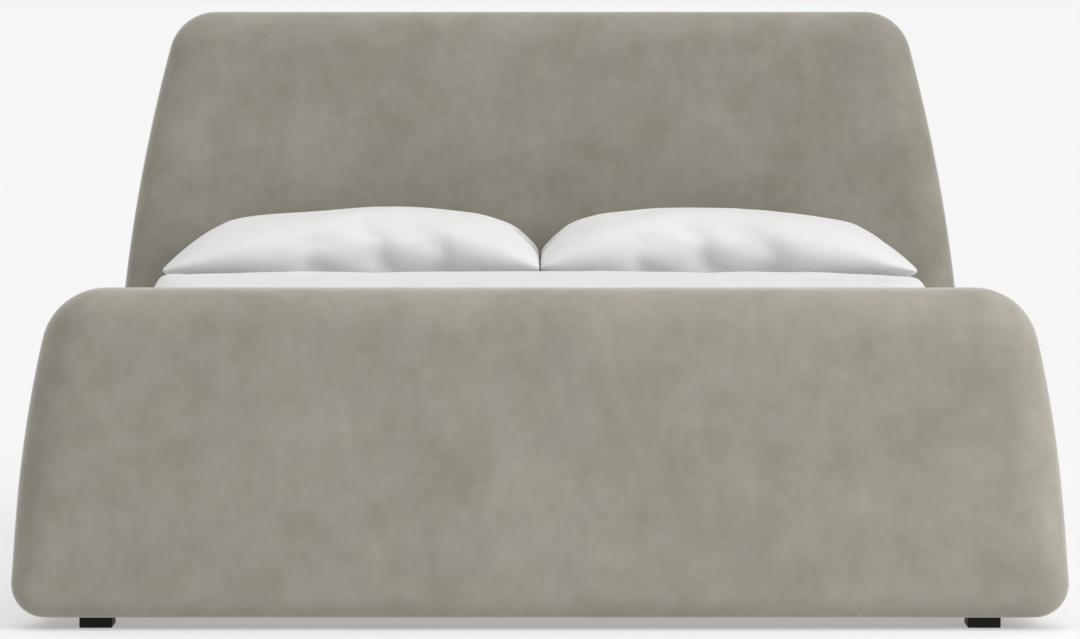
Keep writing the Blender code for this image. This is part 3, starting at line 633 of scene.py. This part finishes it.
def sheet_pair(width, length, step, corner):
    """Two flat layers of cloth sewn together round their rounded outline, as points and faces."""
    columns, rows = round(width / step), round(length / step)
    points, faces, index = [], [], {}
    for layer in (1, -1):
        for i in range(rows + 1):
            for j in range(columns + 1):
                u, v = 2 * j / columns - 1, 2 * i / rows - 1
                rim = i in (0, rows) or j in (0, columns)
                if layer < 0 and rim:
                    index[layer, i, j] = index[1, i, j]
                    continue
                x, y = u * width / 2, v * length / 2
                over_x, over_y = abs(x) - (width / 2 - corner), abs(y) - (length / 2 - corner)
                if over_x > 0 and over_y > 0:
                    trim = max(over_x, over_y) / math.hypot(over_x, over_y)
                    x = math.copysign(width / 2 - corner + over_x * trim, x)
                    y = math.copysign(length / 2 - corner + over_y * trim, y)
                puff = 0.28 * PILLOW_LOFT * ((1 - u**4) * (1 - v**4)) ** 0.8
                index[layer, i, j] = len(points)
                points.append((x, y, layer * (0.0 if rim else 0.002 + puff)))
        for i in range(rows):
            for j in range(columns):
                ring = ((i, j), (i, j + 1), (i + 1, j + 1), (i + 1, j))
                corners = [index[layer, *place] for place in ring]
                faces.append(tuple(corners if layer > 0 else reversed(corners)))
    return points, faces


def inflate(piece, pressure, frames, stiffness=14.0, slack=0.0, pinned=None):
    """Runs Blender's cloth with air inside and no weight, and keeps the last frame as the mesh."""
    cloth = piece.modifiers.new("stuffing", "CLOTH")
    values = cloth.settings
    values.quality = 6
    values.mass = 0.25
    values.tension_stiffness = values.compression_stiffness = stiffness
    values.shear_stiffness = stiffness * 0.6
    values.bending_stiffness = 0.5
    values.tension_damping = values.compression_damping = values.shear_damping = 12.0
    values.air_damping = 3.0
    values.use_pressure = True
    values.uniform_pressure_force = pressure
    values.shrink_min = -slack
    values.effector_weights.gravity = 0.0
    if pinned:
        values.vertex_group_mass = pinned
        values.pin_stiffness = 4.0
    cloth.collision_settings.use_collision = False
    cloth.collision_settings.use_self_collision = False
    cloth.point_cache.frame_start, cloth.point_cache.frame_end = 1, frames
    for step in range(1, frames + 1):
        bpy.context.scene.frame_set(step)
    apply_modifiers(piece)
    bpy.context.scene.frame_set(1)
    return piece


def settle(height, soft):
    """Heights with what is below nought pressed up to it, turning smoothly over this distance."""
    return soft * np.logaddexp(0.0, height / soft)


def build_pillow(word, side):
    """A stuffed case that its neighbour and the mattress press flat, thin at its outer tip."""
    low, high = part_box("pillow_" + word)
    centre = (low + high) / 2
    step = PILLOW_STEP
    points, faces = sheet_pair(*PILLOW_CUT, step, PILLOW_CORNER)
    made = new_piece("pillow_" + word + "_case", points, faces, COTTON)
    inflate(made, PILLOW_PRESSURE, PILLOW_FRAMES)
    add_modifier(made, "plump", "SMOOTH", factor=0.5, iterations=PILLOW_SMOOTHING)
    apply_modifiers(made)
    shaped = points_of(made)
    middle = (shaped.max(0) + shaped.min(0)) / 2
    shaped = (shaped - middle) / (shaped.max(0) - middle)
    across, deep = shaped[:, 0].copy(), shaped[:, 1].copy()
    shaped[:, 0] *= 1 + PILLOW_FILL[0] * (1 - deep**2)
    shaped[:, 1] *= 1 + PILLOW_FILL[1] * (1 - across**2)
    half_x = (high.x - low.x) / 2
    outward = shaped[:, 0] * side  # -1 at the pillow's inner end, 1 at its outer tip
    out = outward * (half_x + PILLOW_OVERLAP / 2) - PILLOW_OVERLAP / 2 - PILLOW_LEAN * (1 - outward**2)
    out = settle(out + half_x, PRESS_SOFTNESS[0]) - half_x
    shaped[:, 0] = side * (abs(centre.x) + out)
    shaped[:, 1] = centre.y + shaped[:, 1] * (high.y - low.y) / 2
    inner_share = np.clip((-outward - INNER_DROOP_FROM) / (1 - INNER_DROOP_FROM), 0, 1) ** 1.2
    droop = TIP_DROOP * np.clip(outward, 0, 1) ** 5 + INNER_DROOP * inner_share
    lifted = shaped[:, 2] * PILLOW_LOFT / 2 + PILLOW_RAISE - droop
    shaped[:, 2] = settle(lifted, PRESS_SOFTNESS[1])
    shaped[:, 2] *= (high.z - low.z - PILLOW_TOP_ROOM) / shaped[:, 2].max()
    soft = ripple(shaped, *PILLOW_RIPPLE, 15 + side) + creases(shaped, *PILLOW_CREASES, 11 + side)
    upper = np.clip((shaped[:, 2] - CREASES_FROM) / CREASES_FROM, 0, 1)
    shaped[:, 2] += soft * upper + low.z + PILLOW_LIFT
    set_points(made, shaped)
    subdivide(made)
    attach(made, word + "_pillow")
    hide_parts("pillow_" + word)


# ------------------------------ mattress and its fitted sheet
MATTRESS_CORNER = 0.070
MATTRESS_EDGE = 0.024
MATTRESS_SET_IN = 0.004
BORDER_BANDS = 1.5  # padded bands round its border, counted as full waves
BORDER_DEPTH = 0.003
TOP_DIP = 0.002
PIPING_RADIUS = 0.0042
SHEET_REACH = 0.175  # how far the fitted sheet comes down the mattress side
SHEET_OUT = 0.0007  # its distance inside the mattress's outermost line
SHEET_EDGE = 0.026
SHEET_THICK = 0.0006


def block_rings(low, high, corner, profile):
    """Rings of points round a block with round upright corners. profile is (inset, z) from base to top."""
    rings = []
    centre = (low + high) / 2
    for inset, z in profile:
        radius = max(0.004, corner - inset)
        half_x, half_y = (high.x - low.x) / 2 - inset - radius, (high.y - low.y) / 2 - inset - radius
        arcs = []
        for quarter, (side_x, side_y) in enumerate(((1, -1), (1, 1), (-1, 1), (-1, -1))):
            turned = (quarter - 1) * math.pi / 2
            x, y = centre.x + side_x * half_x, centre.y + side_y * half_y
            angles = spread(turned, turned + math.pi / 2, 9)
            arcs.append([(x + radius * math.cos(a), y + radius * math.sin(a), z) for a in angles])
        ring = []
        for arc, following in zip(arcs, arcs[1:] + arcs[:1]):
            first, last = Vector(arc[-1]), Vector(following[0])
            ring += arc + [tuple(first.lerp(last, share)) for share in spread(0, 1, 26)[1:-1]]
        rings.append(ring)
    return rings


def cap_rings(ring, z, count, crown, centre):
    """Rings that close a block's top or base, drawn in towards its long middle line."""
    rings = []
    ring = np.array(ring)
    for share in spread(0.0, 1.0, count)[1:]:
        drawn = ring.copy()
        drawn[:, 0] = centre.x + (ring[:, 0] - centre.x) * (1 - share)
        long_half = (ring[:, 1].max() - ring[:, 1].min()) / 2
        wide_half = (ring[:, 0].max() - ring[:, 0].min()) / 2
        keep = (long_half - wide_half * share) / long_half
        drawn[:, 1] = centre.y + (ring[:, 1] - centre.y) * keep
        drawn[:, 2] = z + crown * (1 - (1 - share) ** 2)
        rings.append([tuple(p) for p in drawn])
    return rings


def build_mattress():
    low, high = BED_LOW, BED_HIGH
    centre = (low + high) / 2
    edge = MATTRESS_EDGE
    quarter = [(edge * (1 - math.cos(a)), edge * (1 - math.sin(a))) for a in spread(0, math.pi / 2, 6)]
    height = high.z - low.z
    profile = [(inset + MATTRESS_SET_IN, low.z + rise) for inset, rise in reversed(quarter)]
    for z in spread(low.z + edge, high.z - edge, 15):
        band = math.cos((z - low.z - height / 2) / height * math.pi * 2 * BORDER_BANDS) ** 2
        profile.append((MATTRESS_SET_IN + BORDER_DEPTH * (1 - band), z))
    profile += [(inset + MATTRESS_SET_IN, high.z - fall) for inset, fall in quarter]
    rings = block_rings(low, high, MATTRESS_CORNER, profile)
    columns = len(rings[0])
    rings = cap_rings(rings[0], profile[0][1], 10, 0.0, centre)[::-1] + rings
    rings += cap_rings(rings[-1], profile[-1][1], 10, -TOP_DIP, centre)
    points = np.array([p for ring in rings for p in ring])
    made = new_piece("mattress_core", points, grid_faces(len(rings), columns), TICKING)
    subdivide(made)
    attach(made, MATTRESS_BODY)
    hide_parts("mattress")
    seam = block_rings(low, high, MATTRESS_CORNER, [(MATTRESS_SET_IN, low.z + edge)])[0]
    piping = closed_cord("mattress_piping", seam, PIPING_RADIUS, TICKING)
    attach(piping, MATTRESS_BODY)


def closed_cord(name, points, radius, material):
    """A round cord through these points and back to the first."""
    curve = bpy.data.curves.new(name, "CURVE")
    curve.dimensions = "3D"
    curve.bevel_depth = radius
    curve.bevel_resolution = 2
    line = curve.splines.new("POLY")
    line.points.add(len(points) - 1)
    for point, place in zip(line.points, points):
        point.co = (*place, 1.0)
    line.use_cyclic_u = True
    guide = bpy.data.objects.new(name, curve)
    bpy.context.scene.collection.objects.link(guide)
    bpy.context.view_layer.update()
    mesh = bpy.data.meshes.new_from_object(guide.evaluated_get(bpy.context.evaluated_depsgraph_get()))
    bpy.data.objects.remove(guide)
    shape = bmesh.new()
    shape.from_mesh(mesh)
    bmesh.ops.remove_doubles(shape, verts=shape.verts, dist=1e-5)
    shape.to_mesh(mesh)
    shape.free()
    return piece_from(name, mesh, material)


def build_fitted_sheet():
    low, high = BED_LOW, BED_HIGH
    centre = (low + high) / 2
    edge = SHEET_EDGE
    base = high.z - SHEET_REACH
    profile = [(SHEET_OUT, z) for z in spread(base, high.z - edge, 8)[:-1]]
    for angle in spread(0, math.pi / 2, 7):
        profile.append((SHEET_OUT + edge * (1 - math.cos(angle)), high.z - edge * (1 - math.sin(angle))))
    rings = block_rings(low, high, MATTRESS_CORNER, profile)
    columns = len(rings[0])
    rings += cap_rings(rings[-1], profile[-1][1], 12, 0.0, centre)
    points = np.array([p for ring in rings for p in ring])
    made = new_piece("fitted_sheet", points, grid_faces(len(rings), columns), SHEET_COTTON)
    add_modifier(made, "cloth", "SOLIDIFY", thickness=SHEET_THICK, offset=-1.0)
    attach(made, MATTRESS_BODY)


# ------------------------------ duvet
DUVET_CORNER = 0.065
DUVET_TURN = 0.026  # radius where the top turns down the sides
DUVET_SIDE = 0.0086  # thickness where it hangs between mattress and frame
DUVET_PUFF = 0.012  # the most that the stuffing may push the top out
DUVET_CREST = 0.011  # how much fuller the duvet is at its head end
DUVET_BULGE = 0.009  # how far the filling bellies out where it hangs down the long sides
DUVET_WAVE = 0.006
DUVET_END = 0.026  # length over which the head end rounds to full thickness
HEM_IN = 0.050  # from the head end to its stitched hem line
HEM_DEPTH = 0.004
HEM_HALF = 0.010
HEAD_ROWS = (12, 0.080, 0.072)  # closer rows at the head end: count, where the others end, where they begin
END_LOFT = 0.30  # thickness at the very end, as a share
DUVET_SET_IN = 0.0006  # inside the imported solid
DUVET_TOP_ROOM = 0.004
DUVET_ON_SHEET = 0.0010
DUVET_STUFFING = {"pressure": 1.6, "frames": 18, "stiffness": 8.0, "slack": 0.035}
CREST_REACH = (0.55, 0.5)  # from the head end to where the fullness begins, and over what length it grows
DUVET_RIPPLES = ((0.30, 0.0035, 21), (0.11, 0.0016, 22))  # size, depth and seed
DUVET_FOLDS = ((0.34, 0.0052, 31, (0.55, 1.3, 1.0)), (0.20, 0.0030, 37, (1.2, 0.8, 1.0)))
SIDE_WAVE_SIZE = 0.13
SIDE_OUT = 0.002
HEM_WAVE = (0.22, 0.010, 43)


def lid_place(across, along, half_x, foot, corner):
    """Splits a place on the flat duvet into a point of its level part and a distance out from there."""
    keep_x, keep_y = half_x - corner, foot + corner
    past_x, past_y = max(0.0, abs(across) - keep_x), max(0.0, keep_y - along)
    x = math.copysign(min(abs(across), keep_x), across)
    y = max(along, keep_y)
    reach = max(past_x, past_y)
    if reach == 0.0:
        return x, y, 0.0, 0.0, 0.0
    if past_x >= past_y:
        angle = math.pi / 4 * past_y / past_x
    else:
        angle = math.pi / 2 - math.pi / 4 * past_x / past_y
    return x, y, reach, math.copysign(math.cos(angle), across), -math.sin(angle)


def build_duvet():
    """A flat quilt wrapped over the mattress's top, sides and foot, filled, then given its folds."""
    low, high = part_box("duvet")
    half_x = high.x - DUVET_SET_IN
    foot, head = low.y + DUVET_SET_IN, high.y
    top, hem = high.z - DUVET_TOP_ROOM, low.z
    turn = DUVET_TURN
    arc = turn * math.pi / 2
    flat = DUVET_CORNER - turn
    drop = top - turn - hem
    over = flat + arc + drop
    count = 96
    across = spread(-(half_x - DUVET_CORNER + over), half_x - DUVET_CORNER + over, count + 1)
    rows, rows_end, rows_start = HEAD_ROWS
    along = spread(foot + DUVET_CORNER - over, head - rows_end, count + 1 - rows)
    along += spread(head - rows_start, head, rows)
    inner_top = BED_HIGH.z + DUVET_ON_SHEET
    outer, inner = [], []
    for t in along:
        for s in across:
            x, y, reach, out_x, out_y = lid_place(s, t, half_x, foot, DUVET_CORNER)
            ahead = max(0.0, min(1.0, (head - t) / DUVET_END))
            round_end = math.sqrt(1 - (1 - ahead) ** 2)
            loft = (top - inner_top) * (END_LOFT + (1 - END_LOFT) * round_end)
            loft -= HEM_DEPTH * math.exp(-(((head - t - HEM_IN) / HEM_HALF) ** 2))
            if reach <= flat:
                away, level, slim = reach, 0.0, 0.0
            elif reach <= flat + arc:
                angle = (reach - flat) / turn
                away, level = flat + turn * math.sin(angle), turn * (1 - math.cos(angle))
                slim = (reach - flat) / arc
            else:
                away, level, slim = DUVET_CORNER, turn + reach - flat - arc, 1.0
            over_z = inner_top + loft - level
            outer.append((x + out_x * away, y + out_y * away, over_z))
            inward = away - slim * DUVET_SIDE
            under_z = min(inner_top - max(0.0, level - turn * 0.9), over_z - 0.0005)
            inner.append((x + out_x * inward, y + out_y * inward, under_z))
    side = count + 1
    points = outer + inner
    shift = len(outer)
    faces = []
    for i in range(count):
        for j in range(count):
            ring = (i * side + j, i * side + j + 1, (i + 1) * side + j + 1, (i + 1) * side + j)
            faces.append(ring)
            faces.append(tuple(shift + k for k in reversed(ring)))
    rim = list(range(side)) + [i * side + side - 1 for i in range(1, side)]
    rim += [count * side + j for j in range(side - 2, -1, -1)] + [i * side for i in range(side - 2, 0, -1)]
    for a, b in zip(rim, rim[1:] + rim[:1]):
        faces.append((a, b, b + shift, a + shift))
    made = new_piece("duvet_cover", points, faces, COTTON)
    start = points_of(made)
    held = made.vertex_groups.new(name="held")
    level_part = start[:, 2] > inner_top + 0.004
    held.add([int(i) for i in np.nonzero(~level_part)[0]], 1.0, "REPLACE")
    made.vertex_groups.new(name="free").add([int(i) for i in np.nonzero(level_part)[0]], 1.0, "REPLACE")
    inflate(made, **DUVET_STUFFING, pinned="held")
    moved = points_of(made) - start
    length = np.linalg.norm(moved, axis=1, keepdims=True) + 1e-9
    moved *= DUVET_PUFF * np.tanh(length / DUVET_PUFF) / length
    start = start + moved * level_part[:, None]
    set_points(made, start)
    add_modifier(made, "even_out", "SMOOTH", factor=0.5, iterations=3, vertex_group="free")
    apply_modifiers(made)
    start = points_of(made)
    crest = np.clip((start[:, 1] - (head - CREST_REACH[0])) / CREST_REACH[1], 0, 1) ** 2 * DUVET_CREST
    uneven = sum(ripple(start, *values) for values in DUVET_RIPPLES)
    folds = sum(creases(start, *values) for values in DUVET_FOLDS)
    start[:, 2] += (crest + uneven + folds) * level_part
    hang = np.clip((top - turn * 0.3 - start[:, 2]) / (top - turn * 0.3 - hem), 0, 1)
    side_part = np.clip((np.abs(start[:, 0]) - (half_x - 0.05)) / 0.03, 0, 1)
    outer_part = np.arange(len(start)) < shift
    wave = ripple(start * np.array([0.0, 1.0, 0.35]), SIDE_WAVE_SIZE, DUVET_WAVE, 41)
    belly = DUVET_BULGE * np.sin(np.pi * np.sqrt(hang)) + wave * hang + SIDE_OUT
    start[:, 0] += np.sign(start[:, 0]) * side_part * np.maximum(belly, 0.0) * np.where(outer_part, 1.0, 0.35)
    start[:, 2] += side_part * hang * ripple(start * np.array([0.0, 1.0, 0.0]), *HEM_WAVE)
    start[:, 1] = np.maximum(start[:, 1], foot)
    set_points(made, start)
    subdivide(made)
    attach(made, MATTRESS_BODY)
    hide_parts("duvet")


# ------------------------------ dust cloths
DUST_THICK = 0.0009
DUST_PROUD = 0.0012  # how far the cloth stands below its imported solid, over the turned-in velvet
STAPLE = (0.010, 0.0012, 0.0008)  # crown, wire and how far it stands out
STAPLE_SPACING = 0.070
STAPLE_FROM_EDGE = (0.02, 0.006)  # along the cloth and across it
DUST_SAG = (0.0003, 0.0002)  # even sag inside the turned edge, and unevenness


def build_dust_cloth(kind):
    """Black cloth stapled tight over the underside of a padded board, with its edges turned under."""
    low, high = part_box(kind + "_dust_cloth")
    columns, rows = 120, 8
    verts = []
    for i in range(rows + 1):
        for j in range(columns + 1):
            x = low.x + (high.x - low.x) * j / columns
            y = low.y + (high.y - low.y) * i / rows
            inward = min(i, rows - i, j, columns - j)
            sag = DUST_SAG[0] * min(inward, 3) / 3 + DUST_SAG[1] * noise.noise(Vector((x * 9, y * 20, 0.3)))
            verts.append((x, y, low.z - DUST_PROUD + DUST_THICK / 2 - sag))
    faces = grid_faces(rows + 1, columns + 1, closed=False)
    made = new_piece(kind + "_underside_cloth", verts, faces, DUST)
    add_modifier(made, "cloth", "SOLIDIFY", thickness=DUST_THICK, offset=0.0)
    apply_modifiers(made)
    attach(made, FRAME_BODY)
    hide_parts(kind + "_dust_cloth")
    build_staples(kind, low, high)


def build_staples(kind, low, high):
    """A row of steel staples along each long edge of a dust cloth."""
    crown, wire, proud = STAPLE
    under = low.z - DUST_PROUD
    count = round((high.x - low.x) / STAPLE_SPACING)
    verts, faces = [], []
    from_end, from_side = STAPLE_FROM_EDGE
    for y in (low.y + from_side, high.y - from_side):
        for x in spread(low.x + from_end, high.x - from_end, count):
            base = len(verts)
            for z in (under + 0.0004, under - proud):
                for dx, dy in ((-1, -1), (1, -1), (1, 1), (-1, 1)):
                    slim = 1.0 if z > under else 0.86
                    verts.append((x + dx * crown / 2 * slim, y + dy * wire / 2 * slim, z))
            faces.append(tuple(base + k for k in (0, 1, 2, 3)))
            faces.append(tuple(base + k for k in (7, 6, 5, 4)))
            for k in range(4):
                faces.append((base + k, base + 4 + k, base + 4 + (k + 1) % 4, base + (k + 1) % 4))
    made = new_piece(kind + "_staples", verts, faces, ZINC, smooth=False)
    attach(made, FRAME_BODY)


# ------------------------------ hard parts
def dress_frame():
    """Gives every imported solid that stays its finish."""
    finishes = {
        "slat_strap": WEBBING,
        "slat_ledger": PINE,
        "slat_": SLAT_PINE,
        "centre_beam": PINE,
        "beam_hanger": BLACK_STEEL,
        "corner_bracket": BLACK_STEEL,
        "centre_leg": BLACK_STEEL,
        "bracket_bolt": ZINC,
        "leveller_stem": ZINC,
        "leveller_pad": PLASTIC,
        "foot_": PLASTIC,
        "side_rail_left_board": PLYWOOD,
        "side_rail_right_board": PLYWOOD,
        "headboard_frame": FRAME_PINE,
        "footboard_frame": FRAME_PINE,
    }
    for name, node in NODES.items():
        finish = next((m for start, m in finishes.items() if name.startswith(start)), None)
        if finish is not None:
            node.data.materials.clear()
            node.data.materials.append(finish)


# ------------------------------ stage, light and camera
def build_stage():
    """A large pale floor that glows a little, as a studio light table does, under an even pale sky."""
    glow = {"Emission_Color": (1.0, 1.0, 1.0, 1.0), "Emission_Strength": FLOOR_GLOW}
    floor_look = Shading("floor", (FLOOR_TONE,) * 3, 0.8, Specular_IOR_Level=0.0, **glow)
    shape = bmesh.new()
    bmesh.ops.create_circle(shape, cap_ends=True, segments=96, radius=FLOOR_RADIUS)
    mesh = bpy.data.meshes.new("floor")
    shape.to_mesh(mesh)
    shape.free()
    floor = piece_from("floor", mesh, floor_look.material, smooth=False)
    world = bpy.data.worlds.new("studio")
    world.use_nodes = True
    tree = world.node_tree
    background = tree.nodes["Background"]
    background.inputs["Color"].default_value = (1.0, 1.0, 1.0, 1.0)
    seen = tree.nodes.new("ShaderNodeLightPath").outputs["Is Camera Ray"]
    strength = tree.nodes.new("ShaderNodeMapRange")
    strength.inputs["To Min"].default_value = SKY_LIGHT
    strength.inputs["To Max"].default_value = SKY_SEEN
    tree.links.new(seen, strength.inputs["Value"])
    tree.links.new(strength.outputs[0], background.inputs["Strength"])
    bpy.context.scene.world = world
    bpy.context.scene.view_settings.view_transform = "Standard"


def build_lights():
    """A broad soft light overhead and a lower one off to the camera's right."""
    for name, strength, turn, rise, softness in SUNS:
        light = bpy.data.lights.new(name, "SUN")
        light.energy = strength
        light.angle = math.radians(softness)
        made = bpy.data.objects.new(name, light)
        bpy.context.scene.collection.objects.link(made)
        turn, rise = math.radians(turn), math.radians(rise)
        level = math.cos(rise)
        towards = Vector((math.sin(turn) * level, -math.cos(turn) * level, math.sin(rise)))
        made.rotation_euler = towards.to_track_quat("Z", "Y").to_euler()
    light = bpy.data.lights.new("soft_box", "AREA")
    light.size = SOFT_BOX_SIZE
    light.energy = SOFT_BOX_POWER
    light.spread = math.radians(SOFT_BOX_SPREAD)
    made = bpy.data.objects.new("soft_box", light)
    bpy.context.scene.collection.objects.link(made)
    made.location = SOFT_BOX_AT
    made.rotation_euler = (Vector(SOFT_BOX_AIM) - Vector(SOFT_BOX_AT)).to_track_quat("-Z", "Y").to_euler()
    made.visible_camera = False


def build_camera():
    widest = FOOT_FACE - FOOTBOARD_THICKNESS + WIDEST_BEHIND_FACE
    data = bpy.data.cameras.new("camera")
    data.lens = LENS
    data.sensor_width = SENSOR
    data.clip_end = 300.0
    camera = bpy.data.objects.new("camera", data)
    bpy.context.scene.collection.objects.link(camera)
    camera.location = (0.0, widest - CAMERA_BACK, CAMERA_HEIGHT)
    camera.rotation_euler = (math.radians(90 - CAMERA_PITCH), 0.0, 0.0)
    bpy.context.scene.camera = camera


def main():
    noise.seed_set(NOISE_SEED)
    build_stage()
    build_lights()
    build_camera()
    dress_frame()
    build_boards()
    build_rails()
    for kind in ("headboard", "footboard"):
        build_dust_cloth(kind)
    build_mattress()
    build_fitted_sheet()
    build_duvet()
    for word, side in SIDES.items():
        build_pillow(word, side)


main()
